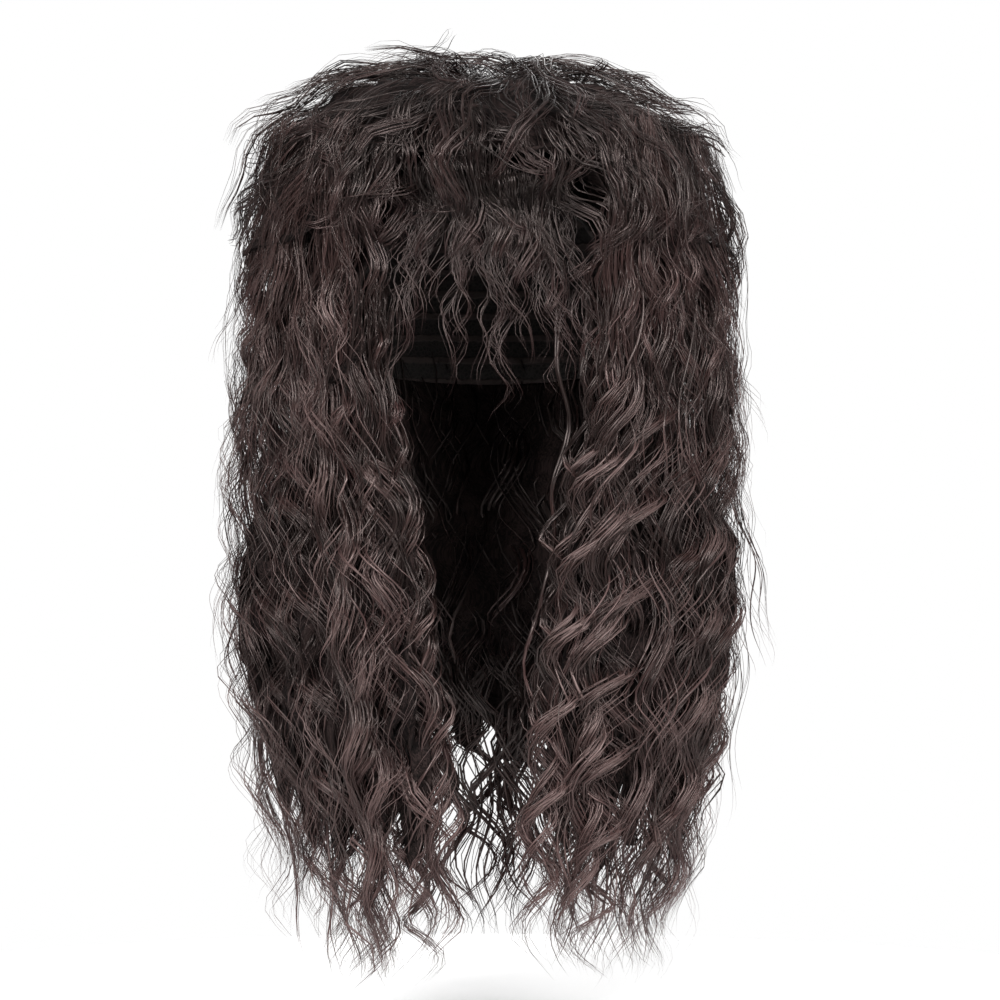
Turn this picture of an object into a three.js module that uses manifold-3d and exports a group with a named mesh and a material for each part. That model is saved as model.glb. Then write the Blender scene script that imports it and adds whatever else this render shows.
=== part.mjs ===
// Long curly wig: a stretch cap that carries a teased crown, a wispy fringe, and two
// layers of waved locks round the sides and the back.
// Millimetres, +Z up. The origin is the inside of the cap on top of the head, the face
// looks along -Y and the wearer's left is +X.
import * as THREE from "three";
import { mergeVertices } from "three/addons/utils/BufferGeometryUtils.js";
import Module from "manifold-3d";

const wasm = await Module();
wasm.setup();
const { lerp, degToRad } = THREE.MathUtils;

// Driving dimensions of the head that the cap fits, about 550 mm round
const HEAD_HALF_WIDTH = 77;
const HEAD_HALF_LENGTH = 97;
const HEAD_DOME_HEIGHT = 95;
const HEAD_SQUARENESS = 2.4;
const NAPE_LEVEL = -150;
const NAPE_NARROWING = 0.06;

// Cap wall, and the gap that the hair keeps to it
const CAP_WALL = 2;
const ROOT_GAP = 0.8;

// Overall hair sizes. The crown slopes more on the wearer's left and is rounder on the right.
const HAIR_TOP = 43;
const HAIR_PLAN_POWER = 2.5;
const CROWN_SQUARENESS = { left: 1.85, right: 2.15 };

// Waves and locks
const WAVE_LENGTH = 92;
const WAVE_HEIGHT = 8;
const WAVE_START = -90;
const WAVE_BUILD_UP = 90;
const WAVE_TURNS_ROUND = 3;
const LOCK_GROOVE = 6;
const COLUMNS_PER_LOCK = 4;
const TIP_THICKNESS = 2.4;
const TIP_RETREAT = 0.25;
const EDGE_THINNING = 0.3;
const EDGE_LOCKS = 0.8;

// Outer form of the hair at each height: half width, and reach to the front and the back
const ENVELOPE = [
  { z: -28, width: 137, front: 121, back: 140 },
  { z: -45, width: 140, front: 119, back: 142 },
  { z: -75, width: 145, front: 112, back: 146 },
  { z: -150, width: 146, front: 105, back: 148 },
  { z: -250, width: 148, front: 102, back: 148 },
  { z: -330, width: 146, front: 104, back: 142 },
  { z: -400, width: 129, front: 104, back: 132 },
  { z: -480, width: 106, front: 100, back: 116 },
];

// Space kept free for the neck, chest and shoulders below the cap
const NECK = [
  { z: NAPE_LEVEL, width: 74.7, front: 93.5, back: 93.5 },
  { z: -200, width: 75, front: 64, back: 79 },
  { z: -300, width: 88, front: 58, back: 75 },
  { z: -480, width: 88, front: 60, back: 75 },
];

// Front and rear edge of the side hair at each height, in degrees round from the face, and
// the edge of the back hair, which parts from the sides over the shoulders
const EDGES = [
  { z: -46, front: 37, rear: 100, back: 102 },
  { z: -100, front: 36, rear: 100, back: 102 },
  { z: -160, front: 36, rear: 99.5, back: 102.5 },
  { z: -230, front: 28, rear: 97, back: 104 },
  { z: -310, front: 20, rear: 91, back: 107 },
  { z: -480, front: 15, rear: 81, back: 113 },
];

// Where the crown leaves the cap, its widest level and its tips, by degrees round from the face
const CROWN_LINES = [
  { angle: 0, root: -27, widest: -24, tip: -40 },
  { angle: 28, root: -27, widest: -26, tip: -46 },
  { angle: 38, root: -43, widest: -38, tip: -76 },
  { angle: 90, root: -43, widest: -40, tip: -92 },
  { angle: 180, root: -43, widest: -40, tip: -96 },
];

// Walls of the two hanging layers, as a share of the way from the cap or neck to the envelope
const MIDDLE_LAYER = {
  top: -46,
  outer: [
    { z: -46, share: 0.12 },
    { z: -52, share: 0.3 },
    { z: -64, share: 0.55 },
    { z: -78, share: 0.78 },
    { z: -96, share: 0.93 },
    { z: -130, share: 1 },
    { z: -205, share: 1 },
  ],
  inner: [
    { z: -46, share: 0 },
    { z: -74, share: 0 },
    { z: -86, share: 0.3 },
    { z: -130, share: 0.58 },
    { z: -205, share: 0.82 },
  ],
  tipNotch: 34,
  tipSpread: 14,
  tipTaper: 36,
  rows: 7,
};
const LONG_LAYER = {
  top: -82,
  outer: [
    { z: -82, share: 0.05 },
    { z: -95, share: 0.16 },
    { z: -130, share: 0.46 },
    { z: -190, share: 0.71 },
    { z: -205, share: 0.78 },
    { z: -214, share: 0.91 },
    { z: -226, share: 1 },
    { z: -480, share: 1 },
  ],
  inner: [
    { z: -82, share: 0 },
    { z: -300, share: 0 },
    { z: -480, share: 0.25 },
  ],
  tipNotch: 70,
  tipSpread: 16,
  tipTaper: 130,
  rows: 14,
};

// Level of the lock tips along each sector, from its first edge (0) to its last (1)
const SIDE_MIDDLE_TIPS = [
  { along: 0, level: -172 },
  { along: 0.5, level: -190 },
  { along: 1, level: -182 },
];
const BACK_MIDDLE_TIPS = [
  { along: 0, level: -182 },
  { along: 0.5, level: -190 },
  { along: 1, level: -182 },
];
const LEFT_LONG_TIPS = [
  { along: 0, level: -450 },
  { along: 0.3, level: -468 },
  { along: 0.7, level: -456 },
  { along: 1, level: -400 },
];
const RIGHT_LONG_TIPS = [
  { along: 0, level: -455 },
  { along: 0.3, level: -480 },
  { along: 0.7, level: -458 },
  { along: 1, level: -396 },
];
const BACK_LONG_TIPS = [
  { along: 0, level: -425 },
  { along: 0.5, level: -472 },
  { along: 1, level: -425 },
];

// Fringe: a strip on the hairline, and wisps by their place on it and where they end
const FRINGE_STRIP = { angle: 26, top: -28.6, bottom: -36.6, thickness: 2.6, columns: 14 };
const WISP = { sides: 4, steps: 10, rootWidth: 9, tipWidth: 1.6, flatness: 0.6 };
const WISP_FOREHEAD = 101;
const WISP_WAVE = 4;
const WISP_WAVE_LENGTH = 52;
const WISPS = [
  { angle: -25, tipX: -53, tipZ: -108 },
  { angle: -20, tipX: -45, tipZ: -116 },
  { angle: -15, tipX: -42, tipZ: -98 },
  { angle: -10, tipX: -20, tipZ: -122 },
  { angle: -5, tipX: -22, tipZ: -100 },
  { angle: 0, tipX: 2, tipZ: -132 },
  { angle: 4, tipX: 12, tipZ: -148 },
  { angle: 9, tipX: 18, tipZ: -102 },
  { angle: 14, tipX: 40, tipZ: -112 },
  { angle: 19, tipX: 46, tipZ: -136 },
  { angle: 25, tipX: 53, tipZ: -122 },
];

// Rim of the cap seen from the side: hairline, temple, over the ear, and nape
const CAP_RIM = [
  { y: -130, z: -38 },
  { y: -72, z: -38 },
  { y: -48, z: -78 },
  { y: -10, z: -98 },
  { y: 22, z: -104 },
  { y: 48, z: -134 },
  { y: 130, z: -142 },
];
const CAP_SEGMENTS = 28;
const CAP_DOME_STEPS = 7;
const CAP_NAPE_STEPS = 2;

// Value of one column of a table at a key, straight between its rows
function column(table, key, place, name) {
  const rising = table[table.length - 1][key] > table[0][key];
  const rows = rising ? table : [...table].reverse();
  const next = rows.findIndex((row) => row[key] >= place);
  if (next === 0) return rows[0][name];
  if (next < 0) return rows[rows.length - 1][name];
  const [low, high] = [rows[next - 1], rows[next]];
  return lerp(low[name], high[name], (place - low[key]) / (high[key] - low[key]));
}

// Repeatable spread of values from -1 to 1, so that neighbouring locks differ
function varied(index) {
  return Math.sin(index * 12.9898 + 1.7) * Math.cos(index * 4.1414);
}

// Distance from the axis to a rounded outline in plan, in a direction round from the face
function planRadius(angle, { width, front, back }, power) {
  const across = Math.abs(Math.sin(angle)) / width;
  const along = Math.abs(Math.cos(angle)) / (Math.cos(angle) > 0 ? front : back);
  return (across ** power + along ** power) ** (-1 / power);
}

// Share of the head's full girth at a level, for the head grown by an offset
function girthShare(z, offset) {
  const dome = HEAD_DOME_HEIGHT + offset;
  const above = z + HEAD_DOME_HEIGHT;
  if (above >= dome) return 0;
  if (above > 0) return (1 - (above / dome) ** HEAD_SQUARENESS) ** (1 / HEAD_SQUARENESS);
  return 1 - NAPE_NARROWING * (above / (NAPE_LEVEL + HEAD_DOME_HEIGHT)) ** 2;
}

// Surface of the head grown by an offset, as a distance from the axis
function headRadius(angle, z, offset) {
  const half = { width: HEAD_HALF_WIDTH + offset, front: HEAD_HALF_LENGTH + offset };
  return planRadius(angle, { ...half, back: half.front }, 2) * girthShare(z, offset);
}

// Innermost place for hair: on the cap down to the nape, then round the neck
function innerRadius(angle, z) {
  if (z >= NAPE_LEVEL) return headRadius(angle, z, CAP_WALL + ROOT_GAP);
  const sizes = {};
  for (const name of ["width", "front", "back"]) sizes[name] = column(NECK, "z", z, name);
  return planRadius(angle, sizes, 2);
}

// Outermost place for hair
function outerRadius(angle, z) {
  const sizes = {};
  for (const name of ["width", "front", "back"]) sizes[name] = column(ENVELOPE, "z", z, name);
  return planRadius(angle, sizes, HAIR_PLAN_POWER);
}

// A place between the two, by its share of the way out
function hairRadius(angle, z, share) {
  return lerp(innerRadius(angle, z), outerRadius(angle, z), share);
}

// Point at an angle round from the face, a distance from the axis and a level
function place(angle, radius, z) {
  return new THREE.Vector3(radius * Math.sin(angle), -radius * Math.cos(angle), z);
}

// Closed skin over rings of points with as many points each. A ring of one point is a pole,
// and an open end is closed by a ladder across its ring.
function skinned(rings) {
  const starts = [];
  let total = 0;
  for (const ring of rings) {
    starts.push(total);
    total += ring.length;
  }
  const faces = [];
  for (let k = 0; k + 1 < rings.length; k++) {
    const [first, second] = [rings[k].length, rings[k + 1].length];
    const count = Math.max(first, second);
    for (let i = 0; i < count; i++) {
      const j = (i + 1) % count;
      const [a0, a1] = [starts[k] + (i % first), starts[k] + (j % first)];
      const [b0, b1] = [starts[k + 1] + (i % second), starts[k + 1] + (j % second)];
      if (a0 !== a1) faces.push(a0, a1, b1);
      if (b0 !== b1) faces.push(a0, b1, b0);
    }
  }
  const ladder = (k, flipped) => {
    const last = rings[k].length - 1;
    for (let i = 0; 2 * i + 1 < last; i++) {
      const [a, b, c, d] = [i, i + 1, last - 1 - i, last - i].map((n) => starts[k] + n);
      faces.push(...(flipped ? [a, c, b] : [a, b, c]), ...(flipped ? [a, d, c] : [a, c, d]));
    }
  };
  ladder(0, true);
  ladder(rings.length - 1, false);
  const geometry = new THREE.BufferGeometry().setFromPoints(rings.flat());
  geometry.setIndex(faces);
  return geometry;
}

// Solid of a geometry, turned the right way out
function solid(geometry) {
  const bare = new THREE.BufferGeometry().setAttribute("position", geometry.attributes.position);
  bare.setIndex(geometry.index);
  const merged = mergeVertices(bare, 1e-4);
  const triVerts = new Uint32Array(merged.index.array);
  const build = () =>
    new wasm.Manifold(
      new wasm.Mesh({ numProp: 3, vertProperties: merged.attributes.position.array, triVerts }),
    );
  const made = build();
  if (made.volume() > 0) return made;
  for (let i = 0; i < triVerts.length; i += 3) {
    [triVerts[i + 1], triVerts[i + 2]] = [triVerts[i + 2], triVerts[i + 1]];
  }
  return build();
}

function meshOf(name, body, material) {
  const { vertProperties, triVerts } = body.getMesh();
  const geometry = new THREE.BufferGeometry();
  geometry.setAttribute("position", new THREE.BufferAttribute(vertProperties, 3));
  geometry.setIndex(new THREE.BufferAttribute(triVerts, 1));
  geometry.computeVertexNormals();
  const mesh = new THREE.Mesh(geometry, material);
  mesh.name = name;
  return mesh;
}

// Cap: a wall turned about the head's axis, oval in plan, with its rim cut to the hairline
function capSolid() {
  const profile = (offset) => {
    const points = [];
    const dome = HEAD_DOME_HEIGHT + offset;
    for (let i = 0; i <= CAP_DOME_STEPS; i++) {
      const z = -HEAD_DOME_HEIGHT + dome * Math.cos((i / CAP_DOME_STEPS) * (Math.PI / 2));
      points.push(new THREE.Vector2(girthShare(z, offset), z));
    }
    for (let i = 1; i <= CAP_NAPE_STEPS; i++) {
      const z = lerp(-HEAD_DOME_HEIGHT, NAPE_LEVEL, i / CAP_NAPE_STEPS);
      points.push(new THREE.Vector2(girthShare(z, offset), z));
    }
    return points;
  };
  const turned = (offset) => {
    const outline = [...profile(offset), new THREE.Vector2(0, NAPE_LEVEL)];
    const geometry = new THREE.LatheGeometry(outline.reverse(), CAP_SEGMENTS);
    geometry.rotateX(Math.PI / 2);
    geometry.scale(HEAD_HALF_WIDTH + offset, HEAD_HALF_LENGTH + offset, 1);
    return solid(geometry);
  };
  const below = new THREE.Shape(CAP_RIM.map(({ y, z }) => new THREE.Vector2(y, z)));
  below.lineTo(CAP_RIM.at(-1).y, 2 * NAPE_LEVEL);
  below.lineTo(CAP_RIM[0].y, 2 * NAPE_LEVEL);
  const reach = 4 * HEAD_HALF_WIDTH;
  const cutter = new THREE.ExtrudeGeometry(below, { depth: reach, bevelEnabled: false });
  cutter.translate(0, 0, -reach / 2);
  cutter.applyMatrix4(new THREE.Matrix4().set(0, 0, 1, 0, 1, 0, 0, 0, 0, 1, 0, 0, 0, 0, 0, 1));
  const inside = turned(0);
  return turned(CAP_WALL).subtract(inside).subtract(solid(cutter));
}

// Height of a lock across its width: a groove at its edges and full in the middle
function lockShape(columnIndex) {
  return Math.sin((Math.PI * (columnIndex % COLUMNS_PER_LOCK)) / COLUMNS_PER_LOCK);
}

// Side-to-side sway of the waved hair at a level, in millimetres
function sway(angle, z) {
  const grown = THREE.MathUtils.clamp((WAVE_START - z) / WAVE_BUILD_UP, 0, 1);
  return WAVE_HEIGHT * grown * Math.sin((2 * Math.PI * z) / WAVE_LENGTH + WAVE_TURNS_ROUND * angle);
}

// One layer of hanging locks, fused side by side into a wall, over a sector round the head.
// edge(z, along) gives the angle, in degrees, of a place along the sector.
function hangingLocks(layer, { edge, tips, locks, seed }) {
  const columns = locks * COLUMNS_PER_LOCK + 1;
  const rings = [];
  for (let c = 0; c < columns; c++) {
    const along = c / (columns - 1);
    const shape = lockShape(c);
    const lock = Math.min(locks - 1, Math.floor(c / COLUMNS_PER_LOCK));
    const tip =
      column(tips, "along", along, "level") +
      layer.tipNotch * (1 - shape) +
      layer.tipSpread * shape * varied(seed + lock);
    const fromEdge = Math.min(along, 1 - along) * locks;
    const wall = lerp(EDGE_THINNING, 1, Math.min(1, fromEdge / EDGE_LOCKS));
    const [outer, inner] = [[], []];
    for (let r = 0; r <= layer.rows; r++) {
      const z = lerp(layer.top, tip, r / layer.rows);
      const flat = degToRad(edge(z, along));
      const angle = flat + sway(flat, z) / outerRadius(flat, z);
      const far = hairRadius(angle, z, column(layer.outer, "z", z, "share"));
      const near = hairRadius(angle, z, column(layer.inner, "z", z, "share"));
      const full = Math.min(1, (z - tip) / layer.tipTaper);
      const grooved = far - Math.min(LOCK_GROOVE, (far - near) / 3) * (1 - shape);
      const thick = (grooved - near) * (r === 0 ? 1 : wall);
      const face = grooved - TIP_RETREAT * thick * (1 - full);
      outer.push(place(angle, face, z));
      inner.unshift(place(angle, face - Math.max(TIP_THICKNESS, thick * full), z));
    }
    rings.push([...outer, ...inner]);
  }
  return solid(skinned(rings));
}

// Angle along a side sector, for the wearer's left (+1) or right (-1)
function sideEdge(side) {
  return (z, along) =>
    side * lerp(column(EDGES, "z", z, "front"), column(EDGES, "z", z, "rear"), along);
}

function backEdge(z, along) {
  const first = column(EDGES, "z", z, "back");
  return lerp(first, 360 - first, along);
}

// Crown: locks that spread from the top of the cap in tiers and flick out at their tips.
// A tier runs down the dome to its edge, in degrees from the top, and lifts off towards it.
const CROWN_LOCKS = 16;
const CROWN_TIERS = [
  { edge: 36, zigzag: 12, lift: 6, rows: [0.4, 0.75, 1] },
  { edge: 64, zigzag: 12, lift: 6, rows: [0.08, 0.55, 1] },
  { edge: 90, zigzag: 0, lift: 0, rows: [0.1, 0.55, 1] },
];
const CROWN_TIP_ROWS = [0.5, 1];
const CROWN_SWIRL = 5;
const CROWN_GROOVE = 7;
const CROWN_NOTCH = 26;
const CROWN_INSIDE_STEPS = 6;
const CROWN_UNDERSIDE = [
  { share: 0.2, drop: 0.05 },
  { share: 0.44, drop: 0.15 },
  { share: 0.68, drop: 0.36 },
  { share: 0.88, drop: 0.66 },
];

function crownSolid() {
  const columns = CROWN_LOCKS * COLUMNS_PER_LOCK;
  const clear = CAP_WALL + ROOT_GAP;
  const lines = [];
  for (let c = 0; c < columns; c++) {
    const round = 360 * (c / columns);
    const angle = degToRad(round);
    const leftness = (1 + Math.sin(angle)) / 2;
    const curve = 2 / lerp(CROWN_SQUARENESS.right, CROWN_SQUARENESS.left, leftness);
    const fromFace = Math.min(round, 360 - round);
    const line = (name) => column(CROWN_LINES, "angle", fromFace, name);
    const lock = Math.floor(c / COLUMNS_PER_LOCK);
    const [root, widest] = [line("root"), line("widest")];
    const reach = outerRadius(angle, widest);
    const outer = [];
    let start = 0;
    CROWN_TIERS.forEach(({ edge, zigzag, lift, rows }, tier) => {
      const shape = lockShape(c + 2 * tier);
      const end = edge + zigzag * (shape - 0.6 + 0.5 * varied(lock + 9 * tier));
      for (const part of rows) {
        const slope = degToRad(lerp(start, end, part));
        const raised = lift * part * part - CROWN_GROOVE * (1 - shape) * Math.sin(slope);
        const r = (reach + raised) * Math.sin(slope) ** curve;
        const h = (HAIR_TOP - widest) * Math.max(0, Math.cos(slope)) ** curve;
        const swirl = degToRad(CROWN_SWIRL) * Math.sin(4 * slope);
        outer.push(place(angle + swirl, r, widest + h + raised * Math.cos(slope)));
      }
      start = end;
    });
    const shape = lockShape(c);
    const tip = line("tip") + CROWN_NOTCH * (1 - shape) * (0.7 + 0.5 * varied(lock + 40));
    for (const part of CROWN_TIP_ROWS) {
      const z = lerp(widest, tip, part);
      const flick = (CROWN_GROOVE / 2) * part * shape;
      outer.push(place(angle, outerRadius(angle, z) - CROWN_GROOVE * (1 - shape) + flick, z));
    }
    const inner = [];
    for (const { share, drop } of [...CROWN_UNDERSIDE].reverse()) {
      const z = lerp(root, tip, drop);
      inner.push(place(angle, hairRadius(angle, z, share), z));
    }
    const turn = Math.acos((root + HEAD_DOME_HEIGHT) / (HEAD_DOME_HEIGHT + clear));
    for (let i = CROWN_INSIDE_STEPS; i > 0; i--) {
      const above = (HEAD_DOME_HEIGHT + clear) * Math.cos((turn * i) / CROWN_INSIDE_STEPS);
      const z = above - HEAD_DOME_HEIGHT;
      inner.push(place(angle, headRadius(angle, z, clear), z));
    }
    lines.push([...outer, ...inner]);
  }
  return solid(crownSkin(lines));
}

// Skin over the crown's columns, closed by one pole on top and one on the cap
function crownSkin(columns) {
  const rows = columns[0].length;
  const top = [new THREE.Vector3(0, 0, HAIR_TOP)];
  const underTop = [new THREE.Vector3(0, 0, CAP_WALL + ROOT_GAP)];
  const rings = [top];
  for (let r = 0; r < rows; r++) rings.push(columns.map((points) => points[r]));
  rings.push(underTop);
  return skinned(rings);
}

// One wisp: a flat, tapering, waved lock swept from the hairline strip to its tip
function wispSolid({ angle, tipX, tipZ }, index) {
  const turn = degToRad(angle);
  const start = (FRINGE_STRIP.top + FRINGE_STRIP.bottom) / 2;
  const root = place(turn, innerRadius(turn, start) + WISP.rootWidth * WISP.flatness, start);
  const path = [root];
  for (let i = 1; i < WISP.steps; i++) {
    const part = i / (WISP.steps - 1);
    const z = lerp(start, tipZ, part);
    const x = lerp(root.x, tipX, part ** 1.3);
    const wave = WISP_WAVE * part * Math.sin((2 * Math.PI * (z - start)) / WISP_WAVE_LENGTH + index);
    const bearing = Math.atan2(x, WISP_FOREHEAD);
    const bow = planRadius(bearing, { width: 92, front: WISP_FOREHEAD, back: 1 }, 2) * Math.cos(bearing);
    const forward = lerp(-root.y, bow + 3 * varied(index), part ** 0.5);
    path.push(new THREE.Vector3(x + wave, -forward, z));
  }
  const curve = new THREE.CatmullRomCurve3(path);
  const rings = [];
  for (let i = 0; i < WISP.steps; i++) {
    const part = i / (WISP.steps - 1);
    const centre = curve.getPoint(part);
    const along = curve.getTangent(part);
    const across = new THREE.Vector3(1, 0, 0).projectOnPlane(along).normalize();
    const out = new THREE.Vector3().crossVectors(along, across);
    const half = lerp(WISP.rootWidth, WISP.tipWidth, part ** 1.4) / 2;
    const ring = [];
    for (let s = 0; s < WISP.sides; s++) {
      const spin = (2 * Math.PI * s) / WISP.sides;
      const point = centre.clone().addScaledVector(across, half * Math.cos(spin));
      ring.push(point.addScaledVector(out, half * WISP.flatness * Math.sin(spin)));
    }
    rings.push(ring);
  }
  return solid(skinned(rings));
}

function fringeSolid() {
  const rings = [];
  for (let c = 0; c <= FRINGE_STRIP.columns; c++) {
    const angle = degToRad(lerp(-FRINGE_STRIP.angle, FRINGE_STRIP.angle, c / FRINGE_STRIP.columns));
    const [top, bottom] = [FRINGE_STRIP.top, FRINGE_STRIP.bottom];
    const [near, low] = [innerRadius(angle, top), innerRadius(angle, bottom)];
    rings.push([
      place(angle, near + FRINGE_STRIP.thickness, top),
      place(angle, low + FRINGE_STRIP.thickness, bottom),
      place(angle, low, bottom),
      place(angle, near, top),
    ]);
  }
  return WISPS.reduce((joined, wisp, i) => joined.add(wispSolid(wisp, i)), solid(skinned(rings)));
}

// Materials, and the assembly
const hair = new THREE.MeshStandardMaterial({ color: 0x3b3130, roughness: 0.5, metalness: 0 });
const net = new THREE.MeshStandardMaterial({ color: 0x1d1918, roughness: 0.9, metalness: 0 });

const wig = new THREE.Group();
wig.add(meshOf("wig_cap", capSolid(), net));
wig.add(meshOf("crown_hair", crownSolid(), hair));
wig.add(meshOf("fringe", fringeSolid(), hair));
for (const { name, side, long, seed } of [
  { name: "left", side: 1, long: LEFT_LONG_TIPS, seed: 3 },
  { name: "right", side: -1, long: RIGHT_LONG_TIPS, seed: 17 },
]) {
  const edge = sideEdge(side);
  const middle = { edge, tips: SIDE_MIDDLE_TIPS, locks: 5, seed };
  wig.add(meshOf(`${name}_side_layer`, hangingLocks(MIDDLE_LAYER, middle), hair));
  const length = { edge, tips: long, locks: 5, seed: seed + 7 };
  wig.add(meshOf(`${name}_length`, hangingLocks(LONG_LAYER, length), hair));
}
const backMiddle = { edge: backEdge, tips: BACK_MIDDLE_TIPS, locks: 8, seed: 31 };
wig.add(meshOf("back_layer", hangingLocks(MIDDLE_LAYER, backMiddle), hair));
const backLong = { edge: backEdge, tips: BACK_LONG_TIPS, locks: 8, seed: 43 };
wig.add(meshOf("back_length", hangingLocks(LONG_LAYER, backLong), hair));

export default wig;
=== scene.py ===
import math
import bpy
import numpy as np
from mathutils.bvhtree import BVHTree
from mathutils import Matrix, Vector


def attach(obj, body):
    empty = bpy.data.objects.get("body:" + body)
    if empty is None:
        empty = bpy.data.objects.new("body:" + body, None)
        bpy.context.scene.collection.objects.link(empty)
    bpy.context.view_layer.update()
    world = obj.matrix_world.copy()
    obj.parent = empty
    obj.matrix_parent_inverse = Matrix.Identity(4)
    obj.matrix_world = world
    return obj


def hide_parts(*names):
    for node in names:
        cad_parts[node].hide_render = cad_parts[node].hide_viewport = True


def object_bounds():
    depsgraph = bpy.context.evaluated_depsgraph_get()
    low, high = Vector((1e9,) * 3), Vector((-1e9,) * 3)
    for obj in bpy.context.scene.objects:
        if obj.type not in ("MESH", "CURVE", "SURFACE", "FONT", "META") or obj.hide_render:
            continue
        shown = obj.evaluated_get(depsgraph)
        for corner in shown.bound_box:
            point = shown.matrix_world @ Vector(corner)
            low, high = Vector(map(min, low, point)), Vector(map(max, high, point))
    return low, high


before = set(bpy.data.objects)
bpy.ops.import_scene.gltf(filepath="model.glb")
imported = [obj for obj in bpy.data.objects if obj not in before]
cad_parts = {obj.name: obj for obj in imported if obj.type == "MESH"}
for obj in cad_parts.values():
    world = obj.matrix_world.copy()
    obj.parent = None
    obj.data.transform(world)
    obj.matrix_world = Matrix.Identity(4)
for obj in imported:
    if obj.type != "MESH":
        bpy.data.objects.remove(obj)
cad_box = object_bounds()


# Studio
# A round sheet of pale paper lies under the wig, lit by two large soft boxes in front and
# weaker ones above and behind. The camera looks level at the front from a portrait distance.
PHOTO_PIXELS = 1000
PIXEL = 0.00057
ORIGIN_PIXEL = (488, 137)
CAMERA_DISTANCE = 2.4
SENSOR = 36
WHITE = (1, 1, 1, 1)
PAPER = (0.9, 0.9, 0.9, 1)
PAPER_ROUGHNESS = 0.9
PAPER_GLOW = 0.27
ROOM_LIGHT = 0.3
LIGHT_TARGET = np.array([0, 0, -0.2])
FLOOR_LEVEL = cad_box[0][2] - 0.03
FLOOR_RADIUS = 0.5

camera_data = bpy.data.cameras.new("camera")
camera_data.sensor_width = SENSOR
camera_data.lens = SENSOR * CAMERA_DISTANCE / (PHOTO_PIXELS * PIXEL)
camera = bpy.data.objects.new("camera", camera_data)
bpy.context.collection.objects.link(camera)
camera.location = (
    (PHOTO_PIXELS / 2 - ORIGIN_PIXEL[0]) * PIXEL,
    -CAMERA_DISTANCE,
    (ORIGIN_PIXEL[1] - PHOTO_PIXELS / 2) * PIXEL,
)
camera.rotation_euler = (math.pi / 2, 0, 0)
bpy.context.scene.camera = camera
bpy.context.scene.view_settings.view_transform = "Standard"

# A white backdrop for the camera, and a dimmer room that lights the wig
world = bpy.data.worlds.new("studio")
world.use_nodes = True
nodes, link = world.node_tree.nodes, world.node_tree.links.new
backdrop = nodes["Background"]
backdrop.inputs["Color"].default_value = WHITE
room = nodes.new("ShaderNodeBackground")
room.inputs["Color"].default_value = WHITE
room.inputs["Strength"].default_value = ROOM_LIGHT
ray = nodes.new("ShaderNodeLightPath")
either = nodes.new("ShaderNodeMixShader")
link(ray.outputs["Is Camera Ray"], either.inputs["Fac"])
link(room.outputs["Background"], either.inputs[1])
link(backdrop.outputs["Background"], either.inputs[2])
link(either.outputs["Shader"], nodes["World Output"].inputs["Surface"])
bpy.context.scene.world = world

for name, place, size, power in [
    ("key_light", (-1.2, -2.1, 1.1), 0.9, 80),
    ("fill_light", (1.4, -2.1, 0.7), 0.9, 55),
    ("top_light", (0.1, 0.3, 1.8), 1.2, 6),
    ("rear_light", (0.5, 2.2, 0.7), 1.2, 20),
]:
    light_data = bpy.data.lights.new(name, "AREA")
    light_data.size = size
    light_data.energy = power
    light = bpy.data.objects.new(name, light_data)
    bpy.context.collection.objects.link(light)
    light.location = place
    aim = LIGHT_TARGET - np.array(place)
    light.rotation_euler = (
        math.atan2(math.hypot(aim[0], aim[1]), -aim[2]),
        0,
        math.atan2(-aim[0], aim[1]),
    )

bpy.ops.object.select_all(action="DESELECT")
bpy.ops.mesh.primitive_circle_add(
    vertices=96, radius=FLOOR_RADIUS, fill_type="NGON", location=(0, 0, FLOOR_LEVEL)
)
floor = bpy.context.object
floor.name = "floor"
floor_paper = bpy.data.materials.new("floor_paper")
floor_paper.use_nodes = True
paper = floor_paper.node_tree.nodes["Principled BSDF"].inputs
paper["Base Color"].default_value = PAPER
paper["Roughness"].default_value = PAPER_ROUGHNESS
paper["Emission Color"].default_value = WHITE
paper["Emission Strength"].default_value = PAPER_GLOW
floor.data.materials.append(floor_paper)


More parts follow.
